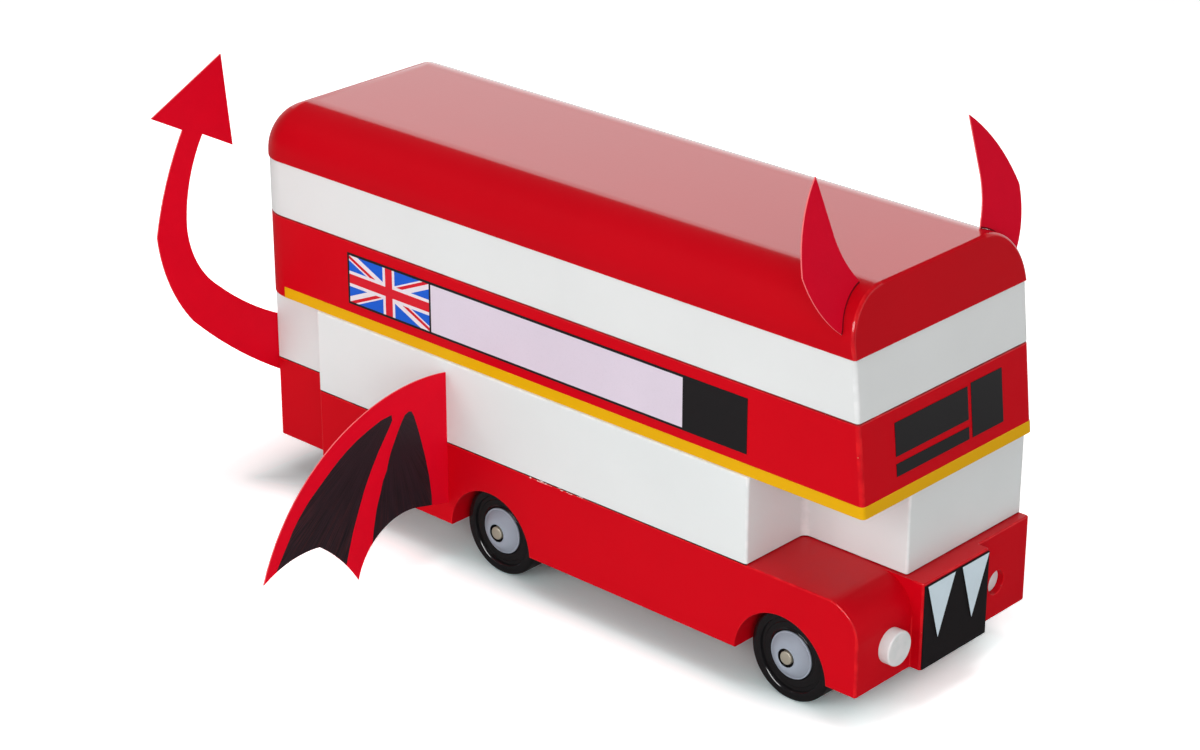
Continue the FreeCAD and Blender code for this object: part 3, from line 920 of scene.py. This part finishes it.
def screw_tree(values):
    """Geometry tree: a pair of round cross-slotted heads under each of a row of straps."""
    tree = bpy.data.node_groups.new("strap screws", "GeometryNodeTree")
    nodes = Nodes(tree)
    tree.interface.new_socket("Geometry", in_out="OUTPUT", socket_type="NodeSocketGeometry")
    for name, value in values.items():
        kind = "NodeSocketVector" if isinstance(value, tuple) else "NodeSocketFloat"
        tree.interface.new_socket(name, in_out="INPUT", socket_type=kind)
    sizes = tree.nodes.new("NodeGroupInput")
    size = {name: Link(nodes, sizes.outputs[name]) for name in values}
    radius = size["Head radius"]
    height = size["Head height"]
    ball = nodes.add("GeometryNodeMeshUVSphere", {}, {"Segments": 32, "Rings": 16, "Radius": radius})
    squash = nodes.vector(1.0, 1.0, height / radius)
    head = nodes.add("GeometryNodeTransform", {}, {"Geometry": ball, "Scale": squash})
    drop = nodes.vector(0.0, 0.0, height * -0.9)
    arm = radius * 1.1
    slot = size["Slot width"]
    for first, second in ((arm, slot), (slot, arm)):
        bar = nodes.add("GeometryNodeMeshCube", {}, {"Size": nodes.vector(first, second, height)})
        bar = nodes.add("GeometryNodeTransform", {}, {"Geometry": bar, "Translation": drop})
        cut = {"operation": "DIFFERENCE", "solver": "EXACT"}
        head = nodes.add("GeometryNodeMeshBoolean", cut, {"Mesh 1": head, "Mesh 2": bar})

    def line_of_two(start, spacing):
        inputs = {"Count": 2, "Start Location": start, "Offset": nodes.vector(spacing)}
        return nodes.add("GeometryNodeMeshLine", {"mode": "OFFSET"}, inputs)

    places = line_of_two(size["First screw"], size["Strap spacing"])
    for stamp in (line_of_two((0.0, 0.0, 0.0), size["Screw spacing"]), head):
        places = nodes.add("GeometryNodeInstanceOnPoints", {}, {"Points": places, "Instance": stamp})
        places = nodes.add("GeometryNodeRealizeInstances", {}, {"Geometry": places})
    done = nodes.add("GeometryNodeSetMaterial", {}, {"Geometry": places, "Material": strap_steel})
    nodes.add("NodeGroupOutput", {}, {0: done})
    return tree


def make_screws():
    """The four screws that hold the axle straps."""
    front, _ = middle_and_radius("axle_strap_front")
    rear, _ = middle_and_radius("axle_strap_rear")
    values = {
        "Strap spacing": front.x - rear.x,
        "Screw spacing": 2 * screw_station,
        "Head radius": screw_radius,
        "Head height": screw_height,
        "Slot width": screw_slot,
        "First screw": (rear.x - screw_station, 0.0, chassis_low.z - strap_thickness),
    }
    holder = new_object("holder", bmesh.new(), [])
    modifier = holder.modifiers.new("screws", "NODES")
    modifier.node_group = screw_tree(values)
    for item in modifier.node_group.interface.items_tree:
        if item.in_out == "INPUT":
            modifier[item.identifier] = values[item.name]
    graph = bpy.context.evaluated_depsgraph_get()
    mesh = bmesh.new()
    mesh.from_mesh(bpy.data.meshes.new_from_object(holder.evaluated_get(graph)))
    bpy.data.objects.remove(holder)
    piece = new_object("strap_screws", clean(mesh), [strap_steel])
    hand_over(piece, [], sharp=30.0, worn_highlit_edge=None)


# Paper pieces: how far apart the inner points of each sheet's mesh lie
horn_grid = 2.0 * MM
wing_grid = 4.0 * MM
tail_grid = 3.0 * MM
grille_grid = 3.0 * MM
fang_grid = 1.5 * MM
banner_grid = 8.0 * MM
blind_grid = 4.0 * MM


def edges_of(outline):
    """Each side of a closed outline, as its two ends."""
    return zip(outline, outline[1:] + outline[:1])


def inside(point, outline):
    """Whether a 2-D point lies inside a closed outline."""
    x, y = point
    found = False
    for (ax, ay), (bx, by) in edges_of(outline):
        if (ay > y) != (by > y) and x < ax + (y - ay) * (bx - ax) / (by - ay):
            found = not found
    return found


def counterclockwise(outline):
    """The outline, turned round if it runs clockwise."""
    area = sum(ax * by - bx * ay for (ax, ay), (bx, by) in edges_of(outline))
    return outline if area > 0 else outline[::-1]


def sheet(name, outline, layers, place, spacing, materials, node):
    """Sheet cut to an outline, with painted areas: layers are (slot, outline) pairs, the last on top.

    place maps the 2-D place and a share of the thickness, 0 at the back and 1 at the front, to a point.
    """
    points = []
    polygons = []
    for area in [outline] + [area for _, area in layers]:
        polygons.append(list(range(len(points), len(points) + len(area))))
        points += counterclockwise(area)
    (left, low), (right, high) = [[limit(values) for values in zip(*outline)] for limit in (min, max)]
    for i in range(1, int((right - left) / spacing) + 1):
        for j in range(1, int((high - low) / spacing) + 1):
            point = (left + spacing * (i - 0.5 * (j % 2)), low + spacing * j)
            if inside(point, outline):
                points.append(point)
    scaled = [Vector(point) / MM for point in points]
    flat, _, faces, _, _, origins = delaunay_2d_cdt(scaled, [], polygons, 1, 1e-4)
    mesh = bmesh.new()
    front = [mesh.verts.new(place(v.x * MM, v.y * MM, 1)) for v in flat]
    behind = {vert: mesh.verts.new(place(v.x * MM, v.y * MM, 0)) for vert, v in zip(front, flat)}
    for face, inputs in zip(faces, origins):
        if 0 in inputs:
            made = mesh.faces.new([front[i] for i in face])
            made.material_index = layers[max(inputs) - 1][0] if max(inputs) else 0
    rims = [edge.verts[:] for edge in mesh.edges if edge.is_boundary]
    for face in mesh.faces[:]:
        mesh.faces.new([behind[vert] for vert in reversed(face.verts[:])])
    for here, there in rims:
        mesh.faces.new((there, here, behind[here], behind[there])).material_index = 1
    loose = [vert for vert in mesh.verts if not vert.link_faces]
    bmesh.ops.delete(mesh, geom=loose, context="VERTS")
    bmesh.ops.recalc_face_normals(mesh, faces=mesh.faces)
    hand_over(new_object(name, mesh, materials), [node], sharp=35.0, worn_highlit_edge=None)


def rectangle(low, high):
    return [low, (high[0], low[1]), high, (low[0], high[1])]


def from_shares(shares, corner, width, height):
    """Places at shares of a width and height from a corner."""
    return [(corner[0] + across * width, corner[1] + up * height) for across, up in shares]


# Horns
card_thickness = 0.4 * MM
horn_setback = 8.3 * MM
horn_lean = math.tan(math.radians(20.0))
horn_inset = 11.5 * MM
horn_width = 21.1 * MM
horn_height = 28.1 * MM
horn_inner_shares = [(0.0, 0.0), (0.155, 0.185), (0.255, 0.45), (0.285, 0.72), (0.318, 1.0)]
horn_outer_shares = [(0.318, 1.0), (0.80, 0.58), (0.99, 0.22), (0.90, -0.03), (0.55, -0.38)]
horn_arc_steps = 10
foot_steps = 12
foot_gap = 0.05 * MM
foot_shade = 0.45 * MM


def make_horn(name, side):
    """Horn cut from red card, leaning back, with its foot cut to the roof's shoulder and a painted shadow
    along that foot.
    """
    base = upper_half_width - horn_inset
    seat = roof_shoulder_radius + foot_gap
    shoulder_y = upper_half_width + roof_proud - roof_shoulder_radius
    shoulder_z = roof_high.z - roof_shoulder_radius

    def clear_of_roof(y, z):
        return z > roof_high.z or math.hypot(y - shoulder_y, z - shoulder_z) > seat

    inner, outer = [
        arc_chain(from_shares(shares, (base, roof_high.z), horn_width, horn_height), horn_arc_steps)
        for shares in (horn_inner_shares, horn_outer_shares)
    ]
    outer = [point for point in outer if clear_of_roof(*point)]
    first = math.atan2(outer[-1][1] - shoulder_z, outer[-1][0] - shoulder_y)
    last = math.acos((base - shoulder_y) / seat)
    foot = circle_part(shoulder_y, shoulder_z, seat, first, last, foot_steps)[1:]
    outline = foot[-1:] + inner[1:-1] + outer + foot[:-1]
    station = upper_front_at(roof_low.z) - horn_setback

    def place(across, up, share):
        x = station - (up - roof_high.z) * horn_lean - card_thickness * (1 - share)
        return (x, side * across, up)

    # Painted shadow: a dark strip of card along the foot stands for the contact shadow against the roof.
    seam = outer[-1:] + foot
    rise = (seat + foot_shade) / seat
    strip = [(shoulder_y + (y - shoulder_y) * rise, shoulder_z + (z - shoulder_z) * rise) for y, z in seam]
    strip += seam[::-1]
    materials = [shaded_horn_card, card_core, shaded_card]
    sheet("card_horn_" + name, outline, [(2, strip)], place, horn_grid, materials, "horn_" + name)


# Wings
wing_span = 74.0 * MM
wing_height = 55.0 * MM
wing_foot = 7.8 * MM
card_arc_steps = 14
wing_top_shares = [(0.0, 0.995), (0.22, 1.012), (0.45, 0.95), (0.788, 0.672), (1.0, 0.222)]
wing_outer_scallop_shares = [(0.858, 0.293), (0.707, 0.298), (0.596, 0.162), (0.507, 0.0)]
wing_inner_scallop_shares = [(0.388, 0.217), (0.192, 0.275)]
wing_root_shares = [(0.0, 0.215)]
outer_panel_shares = [(0.302, 0.880), (0.360, 0.874), (0.428, 0.847), (0.490, 0.818), (0.542, 0.784),
                      (0.589, 0.748), (0.630, 0.710), (0.670, 0.671), (0.709, 0.632), (0.748, 0.593),
                      (0.781, 0.551), (0.811, 0.508), (0.839, 0.463), (0.861, 0.416), (0.884, 0.370),
                      (0.907, 0.323), (0.930, 0.276), (0.935, 0.240), (0.590, 0.040), (0.570, 0.119),
                      (0.552, 0.200), (0.526, 0.306), (0.494, 0.409), (0.461, 0.511), (0.421, 0.610),
                      (0.375, 0.706), (0.323, 0.799), (0.299, 0.846)]
inner_panel_shares = [(0.208, 0.858), (0.231, 0.846), (0.245, 0.821), (0.268, 0.773), (0.309, 0.674),
                      (0.325, 0.623), (0.337, 0.570), (0.358, 0.520), (0.371, 0.468), (0.386, 0.415),
                      (0.400, 0.362), (0.418, 0.252), (0.430, 0.150), (0.094, 0.200), (0.094, 0.302),
                      (0.106, 0.429), (0.126, 0.559), (0.151, 0.690), (0.165, 0.755), (0.181, 0.821),
                      (0.194, 0.852)]


def make_wing(name, side):
    """Wing cut from red card with two dark brushed panels on its front."""
    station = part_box("wing_" + name)[0].x
    edge = wing_top_shares + wing_outer_scallop_shares + wing_inner_scallop_shares
    edge, root, outer_panel, inner_panel = [
        from_shares(shares, (half_width, wing_foot), wing_span, wing_height)
        for shares in (edge, wing_root_shares, outer_panel_shares, inner_panel_shares)
    ]

    def place(across, up, share):
        return (station + card_thickness * share, side * across, up)

    outline = arc_chain(edge, card_arc_steps) + root
    layers = [(2, outer_panel), (2, inner_panel)]
    materials = [red_card, card_core, wing_ink]
    sheet("card_wing_" + name, outline, layers, place, wing_grid, materials, "wing_" + name)


# Tail
tail_reach = 75.7 * MM
tail_top = 144.2 * MM
tail_outer_shares = [(0.099, 0.162), (0.493, 0.277), (0.838, 0.429), (0.950, 0.530), (1.0, 0.644),
                     (0.937, 0.756), (0.841, 0.861)]
tail_inner_shares = [(0.741, 0.839), (0.818, 0.748), (0.846, 0.649), (0.806, 0.562), (0.701, 0.491),
                     (0.415, 0.383), (0.086, 0.317)]
tail_arrow_shares = [(0.994, 0.9055), (0.625, 1.0), (0.587, 0.794)]


def make_tail():
    """Tail cut from red card with an arrowhead, laid on the rear faces."""
    outer, arrow, inner = [
        from_shares(shares, (0.0, 0.0), tail_reach, tail_top)
        for shares in (tail_outer_shares, tail_arrow_shares, tail_inner_shares)
    ]

    def place(across, up, share):
        return (rear_face - card_thickness * (1 - share), -across, up)

    outline = arc_chain(outer, card_arc_steps) + arrow + arc_chain(inner, card_arc_steps)
    sheet("card_tail", outline, [], place, tail_grid, [red_card, card_core], "tail_card")


fang_tip_inset = 0.8 * MM


def make_grille():
    """Black grille card on the bonnet's front, with two pale fangs."""

    def front_card(name, node, outline, spacing, materials):
        low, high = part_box(node)

        def place(across, up, share):
            return (low.x + (high.x - low.x) * share, across, up)

        sheet(name, outline(low, high), [], place, spacing, materials, node)

    def square(low, high):
        return rectangle((low.y, low.z), (high.y, high.z))

    def fang(low, high):
        tip = (low.y + high.y) / 2 - fang_tip_inset
        return [(low.y, high.z), (tip, low.z), (high.y, high.z)]

    front_card("card_grille", "grille_card", square, grille_grid, [black_card, black_card])
    for name, _ in sides:
        front_card("card_fang_" + name, "fang_" + name, fang, fang_grid, [pale_card, black_card])


# Printed banner: flag, blank lilac panel and blank black panel in a thin frame
frame_line = 0.75 * MM
flag_length = 35.0 * MM
dark_panel_length = 23.2 * MM
cross_share = 0.20
cross_border_share = 0.067
diagonal_share = 0.20
diagonal_red_share = 0.067
white_ink, red_ink, blue_ink, lilac_ink = 2, 3, 4, 5


def band(start, end, left, right):
    """Four corners of a straight band from start to end that reaches left and right of its line."""
    a = Vector(start)
    b = Vector(end)
    normal = (b - a).normalized().orthogonal()
    return [tuple(p) for p in (a + normal * left, a - normal * right, b - normal * right, b + normal * left)]


def clipped(polygon, low, high):
    """Polygon cut to an upright rectangle."""
    for axis, limit, sign in ((0, low[0], 1), (0, high[0], -1), (1, low[1], 1), (1, high[1], -1)):
        kept = []
        for here, there in edges_of(polygon):
            here_in = (here[axis] - limit) * sign >= 0
            if here_in:
                kept.append(here)
            if here_in != ((there[axis] - limit) * sign >= 0):
                share = (limit - here[axis]) / (there[axis] - here[axis])
                kept.append(tuple(here[k] + (there[k] - here[k]) * share for k in (0, 1)))
        polygon = kept
    return polygon


def flag_layers(low, high):
    """The crosses and diagonals of the flag, as layers from the field up."""
    height = high[1] - low[1]
    middle = ((low[0] + high[0]) / 2, (low[1] + high[1]) / 2)
    corners = rectangle(low, high)
    half = height * diagonal_share / 2
    layers = [(blue_ink, corners)]
    for start, end in (corners[::2], corners[1::2]):
        layers.append((white_ink, clipped(band(start, end, half, half), low, high)))
    for corner in corners:
        layers.append((red_ink, clipped(band(corner, middle, 0.0, height * diagonal_red_share), low, high)))
    for share, ink in ((cross_share / 2 + cross_border_share, white_ink), (cross_share / 2, red_ink)):
        arm = height * share
        layers.append((ink, rectangle((middle[0] - arm, low[1]), (middle[0] + arm, high[1]))))
        layers.append((ink, rectangle((low[0], middle[1] - arm), (high[0], middle[1] + arm))))
    return layers


def make_banner(name, side):
    """Printed strip on the side of the waist."""
    node = "banner_" + name
    low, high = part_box(node)
    flag_low = (low.x + frame_line, low.z + frame_line)
    flag_high = (low.x + flag_length, high.z - frame_line)
    panel = rectangle((flag_high[0] + frame_line, flag_low[1]), (high.x - dark_panel_length, flag_high[1]))
    layers = flag_layers(flag_low, flag_high) + [(lilac_ink, panel)]
    materials = [print_black, print_black, print_white, print_red, print_blue, print_lilac]
    inner, outer = (low.y, high.y)[::side]

    def place(along, up, share):
        return (along, inner + (outer - inner) * share, up)

    outline = rectangle((low.x, low.z), (high.x, high.z))
    sheet("paper_" + node, outline, layers, place, banner_grid, materials, node)


blind_thickness = 0.15 * MM


def make_blind(node):
    """Blank black sign on the leaning front of the waist."""
    low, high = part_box(node)
    outline = rectangle((low.y, low.z), (high.y, high.z))

    def place(across, up, share):
        return (upper_front_at(up) + blind_thickness * share, across, up)

    sheet("paper_" + node, outline, [], place, blind_grid, [print_black, print_black], node)


def make_paper():
    """All card and printed paper pieces."""
    make_tail()
    make_grille()
    for name, side in sides:
        make_horn(name, side)
        make_wing(name, side)
        make_banner(name, side)
    for node in ("destination_blind", "route_bar", "number_blind"):
        make_blind(node)


def paint_straps():
    """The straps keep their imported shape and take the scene's steel."""
    for end in ends:
        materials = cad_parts["axle_strap_" + end].data.materials
        materials.clear()
        materials.append(strap_steel)


# Studio
floor_reach = 4.0
ambient = 0.42
lamp_aim = Vector((0.0, 0.0, 0.06))

# Name, place, width, height, power, whether paint mirrors it and whether it lights matt surfaces
softboxes = (
    ("key", (-0.3, -1.65, 0.70), 1.3, 0.9, 11.8, False, True),
    ("front fill", (1.25, -1.15, 0.55), 1.0, 0.8, 9.4, False, True),
    ("overhead", (0.1, -0.1, 1.8), 0.9, 0.9, 7.8, False, True),
    ("rear fill", (-1.3, 1.2, 0.70), 1.0, 0.8, 4.5, False, True),
    ("glint", (-1.1, -0.9, 1.2), 0.10, 0.10, 0.35, True, True),
    ("reflected card", (0.42, -1.07, 0.96), 1.5, 0.35, 28.0, True, False),
)

# The camera that was fitted to the photograph
camera_azimuth = math.radians(42.69)
camera_elevation = math.radians(23.99)
camera_distance = 0.90726
camera_aim = Vector((-0.01106, 0.0, 0.05671))
camera_lens = 90.75
camera_sensor = 36.0


def floor_material():
    """Pale floor; seen by the camera it takes painted shadows and a painted lift close to the bus, and less
    red to cancel the bus's red bounce.
    """
    nodes, place = new_material("pale floor")
    camera_ray = nodes.ray("Camera")
    glossy_ray = nodes.ray("Glossy")
    ahead = place.axis("X")
    left = place.axis("Y")
    across = ahead.maths("ABSOLUTE") - bonnet_front
    sideways = left.maths("ABSOLUTE") - half_width
    past_end = across.either(0.0)
    past_side = sideways.either(0.0)
    away = (past_end * past_end + past_side * past_side).maths("SQRT")
    away = away + across.either(sideways).maths("MINIMUM", 0.0)
    behind = (0 - ahead).ramp(0.100, 0.125)
    # Painted light: near the bus the red channel is lowered to cancel the red light that the bus bounces onto
    # the floor.
    left_shift = left.ramp(0.020, 0.050) * 0.012
    side_red_cancel = (1 - (away - left_shift).ramp(-0.005, 0.013)) * (0.156 - behind * 0.070)
    front_red_cancel = (1 - away.ramp(-0.014, 0.006)) * 0.20
    red_bounce_cancel = side_red_cancel + (front_red_cancel - side_red_cancel) * ahead.ramp(0.068, 0.108)
    # Painted shadows beside and behind the bus, and a painted lift of the floor in front of it.
    under = 1 - away.ramp(-0.010, 0.012)
    rear_shadow = behind * (1 - away.ramp(0.010, 0.040)) * 0.45
    side_shadow = under * (1 - ahead.ramp(0.080, 0.115)) * 0.70
    front_light = under * ahead.ramp(0.104, 0.116) * (left.ramp(-0.022, -0.002) * 0.55 + 0.45)
    level = 1.75 - rear_shadow - side_shadow + front_light
    seen = nodes.add("ShaderNodeCombineColor", {}, {0: level * (1 - red_bounce_cancel), 1: level, 2: level})
    # Painted shade: to other rays than the camera's the floor is darker under the bus.
    tone = nodes.mix(nodes.mix(grey(0.72), grey(0.32), under), seen, camera_ray)
    tone = nodes.mix(tone, grey(0.22), glossy_ray)
    near = nodes.add("ShaderNodeBsdfDiffuse", {}, {"Color": tone})
    white_far = nodes.add("ShaderNodeEmission", {}, {"Color": grey(1.0), "Strength": 1.0})
    far = away.ramp(0.20, 0.60) * camera_ray.either(glossy_ray)
    surface = nodes.add("ShaderNodeMixShader", {}, {0: far, 1: near, 2: white_far})
    nodes.add("ShaderNodeOutputMaterial", {}, {"Surface": surface})
    return nodes.material


def make_floor():
    mesh = bmesh.new()
    corners = rectangle((-floor_reach, -floor_reach), (floor_reach, floor_reach))
    mesh.faces.new([mesh.verts.new((x, y, 0.0)) for x, y in corners])
    floor = new_object("floor", mesh, [floor_material()])


def make_world():
    """White to the camera, soft ambient light, and a pale wall on the left that the paint mirrors."""
    world = bpy.data.worlds.new("studio")
    bpy.context.scene.world = world
    world.use_nodes = True
    nodes = Nodes(world.node_tree)
    direction = nodes.add("ShaderNodeTexCoord", output="Generated")
    wall = (1 - direction.axis("Z").ramp(0.50, 0.58)) * direction.axis("Y").ramp(-0.10, 0.25)
    reflected = 0.12 + wall * 1.10
    strength = ambient + (reflected - ambient) * nodes.ray("Glossy")
    strength = strength + (1.0 - strength) * nodes.ray("Camera").either(nodes.ray("Transmission"))
    background = nodes.add("ShaderNodeBackground", {}, {"Color": grey(1.0), "Strength": strength})
    nodes.add("ShaderNodeOutputWorld", {}, {"Surface": background})


def put(name, data, place, direction):
    """Lamp or camera at a place, looking along a direction."""
    made = bpy.data.objects.new(name, data)
    made.location = place
    made.rotation_mode = "QUATERNION"
    made.rotation_quaternion = direction.to_track_quat("-Z", "Y")
    bpy.context.scene.collection.objects.link(made)
    return made


def make_lights():
    for name, place, width, height, power, mirrored, diffused in softboxes:
        light = bpy.data.lights.new(name, "AREA")
        light.shape = "RECTANGLE"
        light.size = width
        light.size_y = height
        light.energy = power
        made = put(name, light, place, lamp_aim - Vector(place))
        made.visible_glossy = mirrored
        made.visible_diffuse = diffused


def make_camera():
    level = math.cos(camera_elevation)
    ahead = math.sin(camera_azimuth) * level
    back = Vector((ahead, -math.cos(camera_azimuth) * level, math.sin(camera_elevation)))
    lens = bpy.data.cameras.new("camera")
    lens.lens = camera_lens
    lens.sensor_width = camera_sensor
    lens.clip_start = 0.01
    lens.clip_end = 50.0
    bpy.context.scene.camera = put("camera", lens, camera_aim + back * camera_distance, -back)


make_blocks()
make_wheels()
make_lamps()
make_screws()
make_paper()
paint_straps()
make_floor()
make_world()
make_lights()
make_camera()
bpy.context.scene.view_settings.view_transform = "Standard"
